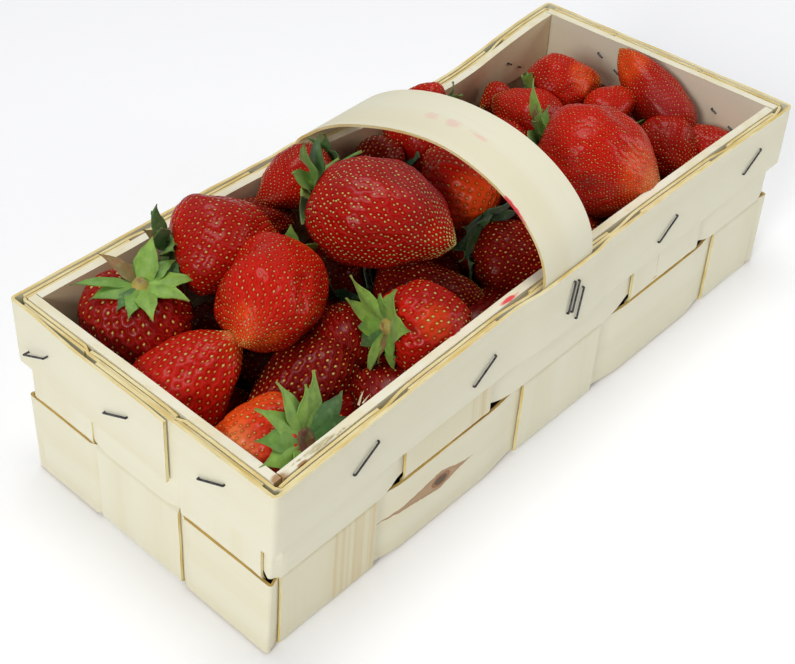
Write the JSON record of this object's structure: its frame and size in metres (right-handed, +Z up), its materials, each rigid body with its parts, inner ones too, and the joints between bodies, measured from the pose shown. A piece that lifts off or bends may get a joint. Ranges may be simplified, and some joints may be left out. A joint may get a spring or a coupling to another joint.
{
  "type": "punnet of strawberries",
  "caption": "Long chip-wood punnet of woven veneer strips with a stapled rim and a low bow handle, heaped with whole strawberries above the rim.",
  "frame": {"origin": "centre of the bounding box in plan, on the underside of the basket", "axes": "+X along the long side away from the overlap of the rim band, +Y across to the long side that leans in, +Z up"},
  "size_m": [0.2778, 0.1186, 0.1043],
  "materials": {
    "pale_veneer": "sawn and peeled poplar veneer, unvarnished, matt with a faint sheen",
    "staple_wire": "dull dark staple wire",
    "strawberry": "glossy wet-looking red fruit skin with pale seeds"
  },
  "bodies": {
    "root": {"batten_far": "pale_veneer", "batten_left": "pale_veneer", "batten_near": "pale_veneer", "batten_right": "pale_veneer", "berry_heap": "strawberry", "cross_strip_1": "pale_veneer", "cross_strip_2": "pale_veneer", "cross_strip_3": "pale_veneer", "cross_strip_4": "pale_veneer", "cross_strip_5": "pale_veneer", "handle": "pale_veneer", "lengthwise_strip_1": "pale_veneer", "lengthwise_strip_2": "pale_veneer", "lengthwise_strip_3": "pale_veneer", "lower_weaver": "pale_veneer", "rim_band": "pale_veneer", "staple_far_1": "staple_wire", "staple_far_2": "staple_wire", "staple_far_3": "staple_wire", "staple_far_4": "staple_wire", "staple_far_handle_1": "staple_wire", "staple_far_handle_2": "staple_wire", "staple_far_handle_3": "staple_wire", "staple_left_1": "staple_wire", "staple_left_2": "staple_wire", "staple_left_3": "staple_wire", "staple_near_1": "staple_wire", "staple_near_2": "staple_wire", "staple_near_3": "staple_wire", "staple_near_4": "staple_wire", "staple_near_handle_1": "staple_wire", "staple_near_handle_2": "staple_wire", "staple_near_handle_3": "staple_wire", "staple_right_1": "staple_wire", "staple_right_2": "staple_wire", "staple_right_3": "staple_wire", "upper_weaver": "pale_veneer"}
  },
  "joints": []
}
